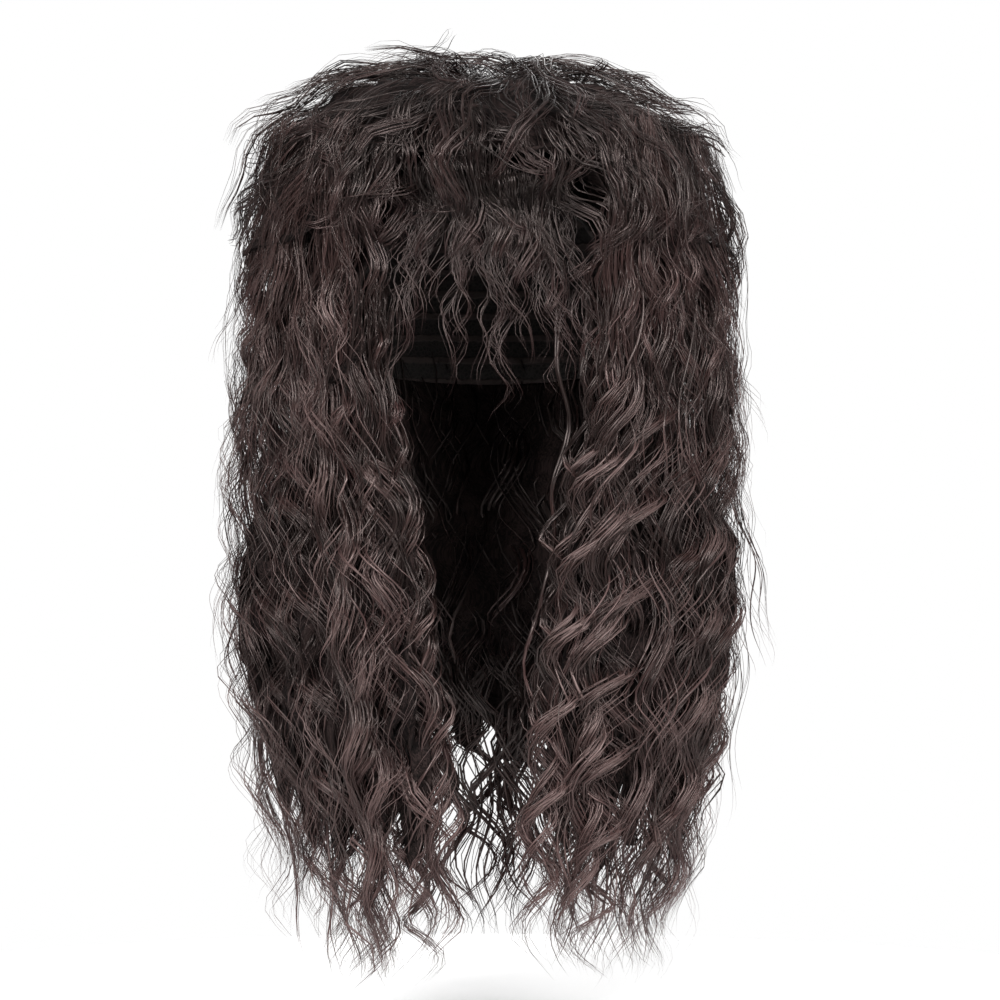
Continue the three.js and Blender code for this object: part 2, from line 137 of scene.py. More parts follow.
# Wig cap
# A knitted stretch cap, worn like a swimming cap, that carries every weft of hair. It is cut
# to the hairline in front and comes down to the nape behind.
class Look:
    """A material with its shader, and short ways to add nodes. A setting is a value or a socket,
    and an underscore in its name stands for a space in the name of an input."""

    def __init__(self, name):
        self.material = bpy.data.materials.new(name)
        self.material.use_nodes = True
        self.shader = self.material.node_tree.nodes["Principled BSDF"]

    def put(self, socket, value):
        if isinstance(value, bpy.types.NodeSocket):
            self.material.node_tree.links.new(value, socket)
        else:
            socket.default_value = value

    def shade(self, **settings):
        for key, value in settings.items():
            self.put(self.shader.inputs[key.replace("_", " ")], value)

    def node(self, kind, **settings):
        made = self.material.node_tree.nodes.new("ShaderNode" + kind)
        for key, value in settings.items():
            label = key.replace("_", " ")
            if label in made.inputs:
                self.put(made.inputs[label], value)
            else:
                setattr(made, key, value)
        return made

    def maths(self, operation, *values):
        made = self.node("Math", operation=operation)
        for socket, value in zip(made.inputs, values):
            self.put(socket, value)
        return made.outputs["Value"]

    def remap(self, value, before, after):
        """A value moved from one range to another, and held inside it."""
        ends = dict(From_Min=before[0], From_Max=before[1], To_Min=after[0], To_Max=after[1])
        return self.node("MapRange", Value=value, **ends).outputs["Result"]

    def mixed(self, share, first, second, **settings):
        """A colour mixed from two by a share."""
        made = self.node("Mix", data_type="RGBA", **settings)
        for slot, value in ((0, share), (6, first), (7, second)):
            self.put(made.inputs[slot], value)
        return made.outputs[2]

    def ramp(self, value, low, high):
        """A colour by a value, between two stops of a position and a colour."""
        made = self.node("ValToRGB", Fac=value)
        for stop, (position, colour) in zip(made.color_ramp.elements, (low, high)):
            stop.position = position
            stop.color = colour
        return made.outputs["Color"]

    def bump(self, height, strength, distance, **settings):
        made = self.node("Bump", Height=height, Strength=strength, Distance=distance, **settings)
        return made.outputs["Normal"]


def edit(operation, **settings):
    """Runs one operation on the whole mesh of the active piece."""
    bpy.ops.object.mode_set(mode="EDIT")
    bpy.ops.mesh.select_all(action="SELECT")
    operation(**settings)
    bpy.ops.object.mode_set(mode="OBJECT")


MERGE_DISTANCE = 0.00002


def copy_of(node_name, name):
    """A new piece with a copy of a solid's mesh, its doubled points merged."""
    piece = bpy.data.objects.new(name, bpy.data.objects[node_name].data.copy())
    piece.data.materials.clear()
    bpy.context.collection.objects.link(piece)
    bpy.ops.object.select_all(action="DESELECT")
    piece.select_set(True)
    bpy.context.view_layer.objects.active = piece
    edit(bpy.ops.mesh.remove_doubles, threshold=MERGE_DISTANCE)
    return piece


CAP_ROUGHNESS = 0.85
CAP_CREASE = math.radians(50)
THREAD_COLOUR = (0.024, 0.019, 0.0175, 1)
MESH_COLOUR = (0.008, 0.0065, 0.006, 1)
WEFT_COLOUR = (0.05, 0.036, 0.033, 1)
# Stitches of the knit in a metre
KNIT_SCALE = 420
# The wave pattern turns by 20 radians a metre for each unit of scale: rows of wefts 13 mm apart
WEFT_SCALE = 24

cap = copy_of("wig_cap", "cap_net")
bpy.ops.object.shade_smooth_by_angle(angle=CAP_CREASE)
cap_look = Look("cap_net")
spot = cap_look.node("TexCoord").outputs["Object"]
knit = cap_look.node("TexVoronoi", feature="DISTANCE_TO_EDGE", Vector=spot, Scale=KNIT_SCALE)
stitch = knit.outputs["Distance"]
weft = cap_look.node(
    "TexWave", bands_direction="Z", Vector=spot, Scale=WEFT_SCALE,
    Distortion=0.6, Detail=2, Detail_Scale=8,
)
seam = cap_look.ramp(weft.outputs["Fac"], (0.72, (0, 0, 0, 1)), (0.9, WHITE))
net = cap_look.ramp(stitch, (0, THREAD_COLOUR), (0.25, MESH_COLOUR))
knitted = cap_look.bump(stitch, strength=0.6, distance=0.0006, invert=True)
cap_look.shade(
    Base_Color=cap_look.mixed(seam, net, WEFT_COLOUR),
    Roughness=CAP_ROUGHNESS,
    Normal=cap_look.bump(seam, strength=0.8, distance=0.0012, Normal=knitted),
)
cap.data.materials.append(cap_look.material)
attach(cap, "root")
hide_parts("wig_cap")


# Back length
# The longest locks, sewn in rows round the back of the cap low down. They hang behind in loose
# waves, gathered into locks that end in points, over a mass of inner hair painted dark as painted
# shade.
LEVELS = np.linspace(0.01, -0.49, 51)
TURNS = np.radians(np.arange(0, 360, 3))
FAR_OUT = 0.3


def tree_of(node_name):
    mesh = bpy.data.objects[node_name].data
    return BVHTree.FromPolygons(
        [v.co[:] for v in mesh.vertices], [p.vertices[:] for p in mesh.polygons]
    )


def wall_map(node_names, inside=False):
    """Distance from the axis to the outermost or innermost wall of the solids, by level and turn."""
    found = np.full((len(LEVELS), len(TURNS)), np.nan)
    start, way = (0, 1) if inside else (FAR_OUT, -1)
    for name in node_names:
        tree = tree_of(name)
        for i, level in enumerate(LEVELS):
            for j, turn in enumerate(TURNS):
                x, y = math.sin(turn), -math.cos(turn)
                hit = tree.ray_cast((x * start, y * start, level), (x * way, y * way, 0), FAR_OUT)[0]
                if hit is None:
                    continue
                reach = math.hypot(hit[0], hit[1])
                if np.isnan(found[i, j]) or (reach < found[i, j]) == inside:
                    found[i, j] = reach
    for i in range(len(LEVELS)):
        known = ~np.isnan(found[i])
        if known.any():
            found[i] = np.interp(TURNS, TURNS[known], found[i, known], period=2 * math.pi)
    for i in range(len(LEVELS) - 2, -1, -1):
        if np.isnan(found[i, 0]):
            found[i] = found[i + 1]
    for i in range(1, len(LEVELS)):
        if np.isnan(found[i, 0]):
            found[i] = found[i - 1]
    return found


def softened(grid, reach):
    """A map averaged over its neighbours, so that the steps between layers run out smoothly."""
    tall = np.pad(grid, ((reach, reach), (0, 0)), mode="edge")
    rows = sum(tall[k : k + len(grid)] for k in range(2 * reach + 1)) / (2 * reach + 1)
    return (np.roll(rows, 1, 1) + rows + np.roll(rows, -1, 1)) / 3


def filled(grid, reach):
    """A map with the dips between its layers filled in, up to a reach of rows on either side."""
    rows = np.arange(len(grid))
    near = np.clip(rows[:, None] + np.arange(-reach, reach + 1), 0, len(grid) - 1)
    return grid[near].max(axis=1)[near].min(axis=1)


def read_map(grid, row, turn):
    """Values of a map at fractions of its rows and round its columns."""
    row = np.clip(row, 0, len(grid) - 1.001)
    column = (turn % (2 * math.pi)) / (TURNS[1] - TURNS[0])
    r0, c0 = row.astype(int), column.astype(int) % len(TURNS)
    r1, c1 = r0 + 1, (c0 + 1) % len(TURNS)
    fr, fc = row - r0, column - np.floor(column)
    top = grid[r0, c0] * (1 - fc) + grid[r0, c1] * fc
    low = grid[r1, c0] * (1 - fc) + grid[r1, c1] * fc
    return top * (1 - fr) + low * fr


def at_level(grid, level, turn):
    return read_map(grid, (LEVELS[0] - level) / (LEVELS[0] - LEVELS[1]), turn)


def unit(vectors):
    return vectors / np.maximum(np.linalg.norm(vectors, axis=-1, keepdims=True), 1e-9)


# Step from strand to strand on the Strand map, and the share of a cell left free round a strand
STRAND_PITCH = 0.05
CELL_MARGIN = 0.06


def strands(name, batches, material):
    """One piece of closed, three-sided, tapering strands. Each batch holds centre lines, outward
    directions, half widths, half depths, twists and tones along them. The Strand map
    runs across and along each strand in metres, and OFBake gives each strand a cell of its own."""
    points, faces, tones, runs, spots, cells = [], [], [], [], [], []
    total = 0
    first = 0
    side = math.ceil(math.sqrt(sum(len(batch["line"]) for batch in batches)))
    for batch in batches:
        # Rings of three points along each strand, turned by its twist, and a point for its tip
        line = batch["line"]
        count, steps = line.shape[:2]
        along = unit(np.gradient(line, axis=1))
        across = unit(np.cross(along, batch["out"]))
        face = np.cross(across, along)
        spin = batch["twist"][..., None]
        across, face = (
            across * np.cos(spin) + face * np.sin(spin),
            face * np.cos(spin) - across * np.sin(spin),
        )
        wide, deep = batch["wide"][..., None], batch["deep"][..., None]
        low = line - face * deep * 0.5
        ring = np.stack([line + face * deep, low + across * wide, low - across * wide], axis=2)
        body = ring[:, :-1].reshape(count, -1, 3)
        block = np.concatenate([body, line[:, -1:, :]], axis=1)
        points.append(block.reshape(-1, 3))

        # Sides of the strand as quads, and its tip and root as triangles
        size = block.shape[1]
        tip = size - 1
        k = np.arange(steps - 2)[:, None] * 3
        s = np.arange(3)[None, :]
        t = (s + 1) % 3
        quads = np.stack([k + s, k + t, k + 3 + t, k + 3 + s], axis=-1).reshape(-1, 4)
        e = (steps - 2) * 3
        ends = np.array([[e, e + 1, tip], [e + 1, e + 2, tip], [e + 2, e, tip], [2, 1, 0]])
        shift = total + np.arange(count)[:, None, None] * size
        faces.append((quads[None] + shift).reshape(-1, 4))
        faces.append((ends[None] + shift).reshape(-1, 3))

        # How far along its strand each point is, and its tone
        part = np.linspace(0, 1, steps)
        runs.append(np.tile(np.concatenate([np.repeat(part[:-1], 3), part[-1:]]), count))
        tone = batch["tone"]
        ring_tone = np.repeat(tone[:, :-1], 3, axis=1)
        tones.append(np.concatenate([ring_tone, tone[:, -1:]], axis=1).ravel())

        # The two maps, from one strand laid out flat
        u_low = s.repeat(steps - 2, 0).reshape(-1) / 3
        u_high = u_low + 1 / 3
        v_low, v_high = np.repeat(part[: steps - 2], 3), np.repeat(part[1 : steps - 1], 3)
        corners = [(u_low, v_low), (u_high, v_low), (u_high, v_high), (u_low, v_high)]
        quad_uv = np.stack([np.stack(corner, -1) for corner in corners], axis=1)
        tip_uv = np.array(
            [[[n / 3, part[-2]], [(n + 1) / 3, part[-2]], [(n + 0.5) / 3, 1]] for n in range(3)]
            + [[[0.9, 0], [0.5, 0], [0.1, 0]]]
        )
        length = np.linalg.norm(np.diff(line, axis=1), axis=2).sum(axis=1)
        girth = 3 * batch["wide"].max(axis=1)
        cell = first + np.arange(count)
        corner = np.stack([cell % side, cell // side], axis=1)
        for shape in (quad_uv, tip_uv):
            every = np.broadcast_to(shape[None], (count,) + shape.shape)
            u = every[..., 0] * girth[:, None, None] + cell[:, None, None] * STRAND_PITCH
            v = every[..., 1] * length[:, None, None]
            spots.append(np.stack([u, v], -1).reshape(-1, 2))
            inset = (CELL_MARGIN + (1 - 2 * CELL_MARGIN) * every + corner[:, None, None, :]) / side
            cells.append(inset.reshape(-1, 2))
        total += count * size
        first += count

    points = np.concatenate(points)
    mesh = bpy.data.meshes.new(name)
    mesh.vertices.add(len(points))
    mesh.vertices.foreach_set("co", points.ravel())
    corners = np.concatenate([f.ravel() for f in faces])
    sizes = np.concatenate([np.full(len(f), f.shape[1]) for f in faces])
    starts = np.concatenate([[0], np.cumsum(sizes)[:-1]])
    mesh.loops.add(len(corners))
    mesh.loops.foreach_set("vertex_index", corners.astype(np.int32))
    mesh.polygons.add(len(sizes))
    mesh.polygons.foreach_set("loop_start", starts.astype(np.int32))
    mesh.polygons.foreach_set("use_smooth", np.ones(len(sizes), dtype=bool))
    for map_name, values in (("Strand", spots), ("OFBake", cells)):
        layer = mesh.uv_layers.new(name=map_name)
        layer.data.foreach_set("uv", np.concatenate(values).ravel())
    for attribute, values in (("tone", tones), ("run", runs)):
        layer = mesh.attributes.new(attribute, "FLOAT", "POINT")
        layer.data.foreach_set("value", np.concatenate(values).astype(np.float32))
    mesh.update()
    mesh.validate()
    piece = bpy.data.objects.new(name, mesh)
    bpy.context.collection.objects.link(piece)
    mesh.materials.append(material)
    return piece


def wander(rng, count, steps, waves):
    """Slow wander along each strand, about -1 to 1."""
    part = np.linspace(0, 1, steps)[None, :]
    total = np.zeros((count, steps))
    for n in range(1, waves + 1):
        phase = rng.uniform(0, 2 * math.pi, (count, 1))
        total += np.sin(2 * math.pi * n * part * rng.uniform(0.6, 1.4, (count, 1)) + phase) / n
    return total / 1.5


def straying(rng, smooth, frizzy, frizz, steps, waves):
    """Wander of each strand about its lock, wider the frizzier the strand is."""
    return (smooth + frizzy * frizz)[:, None] * wander(rng, len(frizz), steps, waves)


def ripples(rng, along, fall):
    """Slow change over a layer, about -1 to 1, so that neighbouring locks wave together."""
    total = 0
    for _ in range(4):
        bands, drift, phase = rng.uniform(4, 14), rng.normal(0, 14), rng.uniform(0, 6.3)
        total = total + np.sin(bands * along + drift * fall + phase)
    return total / 2.8


# Strands well below this half width are frizzy
FRIZZY_WIDTH = 0.0003


def lock_seats(rng, locks, recipe):
    """For each strand of each lock: its lock's number, its half width, its place across the lock,
    and how frizzy it is. The finest strands stray most from their lock."""
    size = len(recipe)
    lock = np.repeat(np.arange(locks), size)
    broad = np.tile(recipe, locks)
    seat = np.tile((np.arange(size) + 0.5) / size - 0.5, locks) + rng.normal(0, 0.1, len(lock))
    return lock, broad, seat, np.clip(1.3 - broad / FRIZZY_WIDTH, 0, 1)


def tapered(rng, broad, part):
    """Half widths along strands, uneven, narrower at the root and running out to a point."""
    taper = np.clip(np.minimum(0.6 + 3 * part, 1.2 * (1 - part**5) + 0.06), 0.06, 1)
    uneven = 1 + 0.2 * wander(rng, len(broad), part.shape[1], 5)
    return broad[:, None] * rng.uniform(0.85, 1.15, (len(broad), 1)) * taper * uneven


def flattened(half, frizz):
    """Half depths of strands: broad ones are ribbons and frizzy ones are rounder."""
    return half * (0.35 + 0.4 * frizz)[:, None]


# Angles of the partings round from the front, by level, as in the solids
EDGE_LEVELS = np.array([-0.046, -0.1, -0.16, -0.23, -0.31, -0.48])
SIDE_FRONT = np.radians([37, 36, 36, 28, 20, 15])
SIDE_REAR = np.radians([100, 100, 99.5, 97, 91, 81])
BACK_EDGE = np.radians([102, 102, 102.5, 104, 107, 113])


def edge_at(values, level):
    return np.interp(-level, -EDGE_LEVELS, values)


def back_turn(level, along):
    first = edge_at(BACK_EDGE, level)
    return first + (2 * math.pi - 2 * first) * along


def left_turn(level, along):
    front, rear = edge_at(SIDE_FRONT, level), edge_at(SIDE_REAR, level)
    return front + (rear - front) * along


def right_turn(level, along):
    return -left_turn(level, along)


# How hanging locks differ from each other, in metres along them or as shares
LOCK_ROOTS = (-0.012, 0.012)
LOCK_TIPS = (-0.012, 0.02)
LOCK_SHORTENING = (0, 0.55)
LOCK_CLOSING = (0.1, 0.75)
LOCK_SWEEP = (0.3, 1)
LOCK_LEAN = 0.06
LOCK_SWAY = 0.004
LOCK_OVERLAP = 1.6
LOCK_DOME = 0.006
# How their waves differ, and the fall over which a wave grows
WAVE_LENGTHS = (0.75, 1.45)
WAVE_SWINGS = (0.5, 1.55)
WAVE_PHASES = 1.6
WAVE_RIPPLE = 1.8
WAVE_GROWTH = 0.08
# How the strands of a lock differ
STRAND_ROOTS = (-0.01, 0.02)
STRAND_TIPS = 0.009
STRAND_SHORTENING = (0, 0.02)
STRAND_LIFT = (-0.001, 0.004)
STRAND_DEPTH = 0.0008
# Tips below this level are drawn up, so that none hangs far below the rest
LOW_TIPS = -0.465
LOW_TIPS_KEPT = 0.5


def hanging(rng, turn, locks, recipe, top, tip, lift, wave, steps, share=(1, 1), early=0.3,
            flick=0.006, along=(0, 1), flare=0, dip=0, pale=0, curl=0.55):
    """Strands of a hanging layer, in locks that each have a wave, a tone and an end of their own.
    top and tip give (along, level) rows, lift the range off the wall, share the place between
    the inner and the outer wall, early the part of the locks that end higher up, flare how far
    the roots are swept towards the front, dip how deep they start inside the hair, pale how much
    lighter they are painted, as painted light, and curl how far they swing in and out. A lock
    curls to either hand."""
    lock, broad, seat, frizz = lock_seats(rng, locks, recipe)
    count = len(lock)

    def each(values):
        """Values of the locks as a column, one for each strand."""
        return values[lock][:, None]

    # Where each strand runs from root to tip, without its wave
    span = along[1] - along[0]
    pitch = span / locks
    part = np.linspace(0, 1, steps)[None, :]
    place = along[0] + span * (np.arange(locks) + rng.uniform(0, 1, locks)) / locks
    high = np.interp(place, *np.array(top).T) + rng.uniform(*LOCK_ROOTS, locks)
    low = np.interp(place, *np.array(tip).T) + rng.uniform(*LOCK_TIPS, locks)
    shortened = rng.uniform(0, 1, locks) < early
    low = low + shortened * rng.uniform(*LOCK_SHORTENING, locks) * (high - low)
    high = high[lock] + rng.uniform(*STRAND_ROOTS, count)
    low = low[lock] + rng.normal(0, STRAND_TIPS, count)
    low = low + (1 - frizz) * rng.uniform(*STRAND_SHORTENING, count)
    low = np.where(low < LOW_TIPS, LOW_TIPS + LOW_TIPS_KEPT * (low - LOW_TIPS), low)
    level = high[:, None] + (low - high)[:, None] * part
    closing = 1 - each(rng.uniform(*LOCK_CLOSING, locks)) * part**2
    swept = each(place) * (1 - flare * each(rng.uniform(*LOCK_SWEEP, locks)) * (1 - part) ** 1.3)
    lean = each(rng.normal(0, LOCK_LEAN, locks)) * span * part
    flat = turn(level, swept + lean + LOCK_OVERLAP * pitch * seat[:, None] * closing)

    # The wave along it, which neighbouring locks share in part
    size, long, start = wave
    fall = start - level
    grown = np.clip(fall / WAVE_GROWTH, 0.2, 1)
    angle = 2 * math.pi * fall / each(long * rng.uniform(*WAVE_LENGTHS, locks))
    angle = angle + WAVE_RIPPLE * ripples(rng, each(place), fall)
    jitter = rng.normal(0, 0.12 + 0.5 * frizz**2, count)
    phase = rng.normal(0, WAVE_PHASES, locks)
    hand = each(np.where(phase > 0, 1, -1))
    angle = angle + (phase[lock] + jitter)[:, None]
    angle = angle + (0.4 + part) * straying(rng, 0.15, 0.6, frizz, steps, 3)
    swing = size * each(rng.uniform(*WAVE_SWINGS, locks)) * grown
    swing = swing * rng.uniform(0.9, 1.1, (count, 1))

    # Its swing to either side and its distance from the axis
    shares = each(rng.uniform(*share, locks))
    wall = at_level(long_inside, level, flat) * (1 - shares) + at_level(skin, level, flat) * shares
    sway = hand * swing * np.sin(angle) + LOCK_SWAY * wander(rng, locks, steps, 2)[lock]
    sway = sway + straying(rng, 0.0012, 0.0045, frizz, steps, 4)
    outer = rng.uniform(0, 1, locks)[lock]
    depth = lift[0] + (lift[1] - lift[0]) * outer + rng.normal(0, STRAND_DEPTH, count)
    depth = depth - LOCK_DOME * (2 * seat) ** 2 + frizz * rng.uniform(*STRAND_LIFT, count)
    facing = np.cos(angle + 0.4)
    out = depth[:, None] - dip * (1 - np.clip(part * 4, 0, 1)) + curl * swing * facing
    out = out + straying(rng, 0.0006, 0.0016, frizz, steps, 4)
    out = out + each(rng.uniform(0, flick, locks)) * part**3
    spun = flat + sway / wall
    radius = wall + out
    level = level + 0.2 * swing * np.sin(angle + 1.1)
    half = tapered(rng, broad, part)

    # Its tone, with painted shade and painted highlights: outer locks are lighter and deeper ones
    # darker as painted shade, edges of locks darker as painted shade, and crests of the wave lighter
    # as a painted highlight
    tone = 0.03 + pale + 0.45 * outer**1.5 + rng.uniform(-0.2, 0.25, locks)[lock]
    tone = tone - 0.3 * (2 * seat) ** 2 + rng.normal(0, 0.04 + 0.08 * frizz, count)
    crest = grown * facing
    tone = tone[:, None] + 0.2 * crest + 1.8 * outer[:, None] * np.maximum(0, crest) ** 3
    return {
        "line": np.stack([radius * np.sin(spun), -radius * np.cos(spun), level], axis=-1),
        "out": np.stack([np.sin(spun), -np.cos(spun), np.zeros_like(spun)], axis=-1),
        "wide": half,
        "deep": flattened(half, frizz),
        "tone": np.clip(tone, 0, 2.4),
        "twist": 1.1 * seat[:, None] + 0.25 * wander(rng, count, steps, 2),
    }


SHEEN_TINT = (1, 0.84, 0.8, 1)
# A pale neutral colour added to the brightest tones as a painted highlight, and the tone where it
# starts
GLEAM = (0.068, 0.0515, 0.0485, 1)
GLEAM_START = 0.9
# Streaks across and along a strand in a metre
STREAK_SCALE = (1900, 12, 1)


def hair_material(name, dark, light, tip):
    """Hair fibre: fine streaks along each strand, a tone for each strand that carries painted shade
    and painted highlights, a further painted highlight where that is brightest, and paler tips."""
    look = Look(name)
    where = look.node("UVMap", uv_map="Strand").outputs["UV"]
    grain = look.node("Tangent", direction_type="UV_MAP", uv_map="Strand").outputs["Tangent"]
    stretched = look.node("Mapping", Vector=where, Scale=STREAK_SCALE).outputs["Vector"]
    streak = look.node("TexNoise", Vector=stretched, Scale=1, Detail=5, Roughness=0.7).outputs["Fac"]
    tone = look.node("Attribute", attribute_name="tone").outputs["Fac"]
    run = look.node("Attribute", attribute_name="run").outputs["Fac"]
    bright = look.maths("ADD", tone, look.remap(streak, (0.38, 0.62), (-0.2, 0.2)))
    shaded = look.mixed(bright, (*dark, 1), (*light, 1))
    # Painted highlight: the gleam colour added on top of the brightest tones
    crest = look.maths("MAXIMUM", look.maths("SUBTRACT", bright, GLEAM_START), 0)
    gleaming = look.mixed(crest, shaded, GLEAM, blend_type="ADD", clamp_factor=False)
    look.shade(
        Base_Color=look.mixed(look.remap(run, (0.55, 1), (0, 0.7)), gleaming, (*tip, 1)),
        Roughness=look.remap(streak, (0.35, 0.65), (0.55, 0.26)),
        Specular_IOR_Level=0.8,
        Specular_Tint=SHEEN_TINT,
        Anisotropic=0.75,
        Tangent=grain,
        Normal=look.bump(streak, strength=0.35, distance=0.0005),
    )
    return look.material


def fading(values, start, reach):
    """1 well below a start, running out to 0 there."""
    return np.clip((start - values) / reach, 0, 1)


FRONT_HALF_WIDTH = 0.074
LAYER_TOP = -0.06


def under_hair(node_name, name, inset, knee, keep, rounds=1, tuck=0, lap=0):
    """Inner hair that fills a layer, to be painted dark as painted shade: the solid drawn in from its
    outer wall by (level, depth) rows, and its tips drawn up below a knee level, so that loose strands
    make the outline. Tuck draws the front edge in and up, lap raises the upper edge under the layer
    above, and rounds of smoothing take the steps out of it."""
    piece = copy_of(node_name, name)
    tree = tree_of(node_name)
    inset = np.array(inset)
    edit(bpy.ops.mesh.subdivide, number_cuts=1, smoothness=0.4)
    mesh = piece.data
    spots = np.empty(len(mesh.vertices) * 3)
    mesh.vertices.foreach_get("co", spots)
    spots = spots.reshape(-1, 3)
    normals = np.empty(len(mesh.vertices) * 3)
    mesh.vertex_normals.foreach_get("vector", normals)
    normals = normals.reshape(-1, 3)
    front = fading(spots[:, 2], 0.01, 0.04) * fading(spots[:, 1], 0, 0.06)
    front = front * fading(np.abs(spots[:, 0]), FRONT_HALF_WIDTH, 0.025)
    for i, (spot, normal) in enumerate(zip(spots.copy(), normals)):
        outward = np.array([spot[0], spot[1], max(0, spot[2] - LAYER_TOP)])
        if normal @ outward > 0:
            room = tree.ray_cast(tuple(spot - 0.0005 * normal), tuple(-normal))[3]
            drawn = np.interp(-spot[2], -inset[:, 0], inset[:, 1]) + tuck * front[i]
            spots[i] -= normal * min(drawn, 0.7 * room if room else 0.001)
    deep = spots[:, 2] < knee
    spots[deep, 2] = knee + (spots[deep, 2] - knee) * keep
    spots[:, 2] += lap * np.clip((spots[:, 2] - LAYER_TOP) / 0.01, 0, 1)
    spots[:, 2] += 0.7 * tuck * front
    mesh.vertices.foreach_set("co", spots.ravel())
    edit(bpy.ops.mesh.vertices_smooth, factor=0.5, repeat=rounds)
    bpy.ops.object.shade_smooth()
    return piece


# Colours of the inner hair, darker than the strands as painted shade
INNER_DARK = (0.003, 0.0018, 0.0017, 1)
INNER_LIGHT = (0.029, 0.0185, 0.0172, 1)
INNER_WAVES = 125
INNER_SWAY = 0.006
# How much slower the streaks change down the hair than across it
INNER_STRETCH = 0.05
WHORL_GIRTH = 0.25
WHORL_OFFSET = 0.5


def inner_material(name, whorl=False):
    """Inner hair painted dark as painted shade: fine dark streaks that wave down the locks, or run
    out from a whorl.
    """
    look = Look(name)
    place = look.node("TexCoord").outputs["Object"]
    split = look.node("SeparateXYZ", Vector=place).outputs
    x, y, z = split["X"], split["Y"], split["Z"]
    if whorl:
        spoke = look.node("TexGradient", gradient_type="RADIAL", Vector=place).outputs["Fac"]
        x, y = look.maths("MULTIPLY", spoke, WHORL_GIRTH), WHORL_OFFSET
    bend = look.maths("SINE", look.maths("MULTIPLY", z, INNER_WAVES))
    sway = look.maths("MULTIPLY", bend, INNER_SWAY)
    combed_out = look.node(
        "CombineXYZ",
        X=look.maths("ADD", x, sway),
        Y=look.maths("ADD", y, sway),
        Z=look.maths("MULTIPLY", z, INNER_STRETCH),
    ).outputs["Vector"]
    fine = look.node("TexNoise", Vector=combed_out, Scale=900, Detail=4, Roughness=0.65)
    streak = fine.outputs["Fac"]
    clump = look.node("TexNoise", Vector=combed_out, Scale=90, Detail=2).outputs["Fac"]
    both = look.node("Mix", data_type="FLOAT")
    for slot, value in ((0, 0.3), (2, streak), (3, clump)):
        look.put(both.inputs[slot], value)
    look.shade(
        Base_Color=look.ramp(both.outputs[0], (0.43, INNER_DARK), (0.6, INNER_LIGHT)),
        Roughness=0.8,
        Specular_IOR_Level=0.12,
        Normal=look.bump(streak, strength=0.9, distance=0.0015),
    )
    return look.material


def add_hair(node_name, base, dressing):
    for piece in (base, dressing):
        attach(piece, "root")
    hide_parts(node_name)


OUTER_NODES = [
    "crown_hair",
    "left_side_layer",
    "right_side_layer",
    "back_layer",
    "left_length",
    "right_length",
    "back_length",
]
skin = softened(filled(wall_map(OUTER_NODES), 3), 2)
long_inside = softened(wall_map(["back_length", "left_length", "right_length"], inside=True), 1)
hair_fibre = hair_material(
    "hair_fibre",
    dark=(0.0068, 0.0036, 0.0032),
    light=(0.044, 0.0218, 0.0199),
    tip=(0.075, 0.037, 0.0355),
)
# The inner hair's material is painted dark, as painted shade
inner_hair_shaded = inner_material("inner_hair_shaded")

LONG_INSET = [(-0.16, 0.003), (-0.23, 0.014), (-0.3, 0.016)]
LONG_KNEE = -0.26
# Swing and length of a wave, and the level at which it starts
WAVE = (0.0085, 0.058, -0.1)
# Half widths of the strands across a lock
FULL_LOCK = np.tile([0.3, 0.55, 0.2, 0.65, 0.42, 0.18, 0.58, 0.26], 3) / 1000
BACK_LOCK = np.array([0.35, 0.8, 0.25, 1.0, 0.5, 0.9, 0.3, 0.7, 0.4]) / 1000
INNER_LOCK = np.array([0.6, 1.0, 0.4, 1.2, 0.5, 0.8]) / 1000
EDGE_LOCK = np.array([0.3, 0.6, 0.2, 0.7, 0.4, 0.25, 0.5, 0.18, 0.35]) / 1000
LOOSE_LOCK = np.array([0.25, 0.16, 0.22, 0.18, 0.3, 0.15, 0.2]) / 1000

rng = np.random.default_rng(11)
base = under_hair("back_length", "back_length_inner", LONG_INSET, LONG_KNEE, keep=0.5)
base.data.materials.append(inner_hair_shaded)
tips = [(0, -0.425), (0.5, -0.472), (1, -0.425)]
top = [(0, -0.14), (1, -0.14)]
ends_top = [(0, -0.28), (1, -0.28)]
dressing = strands(
    "back_length_strands",
    [
        hanging(rng, back_turn, 42, BACK_LOCK, top, tips, (-0.014, 0), WAVE, 43),
        hanging(rng, back_turn, 8, LOOSE_LOCK, top, tips, (-0.004, 0.006), WAVE, 36),
        hanging(rng, back_turn, 28, INNER_LOCK, top, tips, (-0.003, 0.003), WAVE, 26, share=(0, 0.2)),
        hanging(rng, back_turn, 5, EDGE_LOCK, ends_top, tips, (-0.006, 0), WAVE, 22,
                share=(0, 0.1), early=0.1, along=(0.36, 0.62)),
    ],
    hair_fibre,
)
add_hair("back_length", base, dressing)


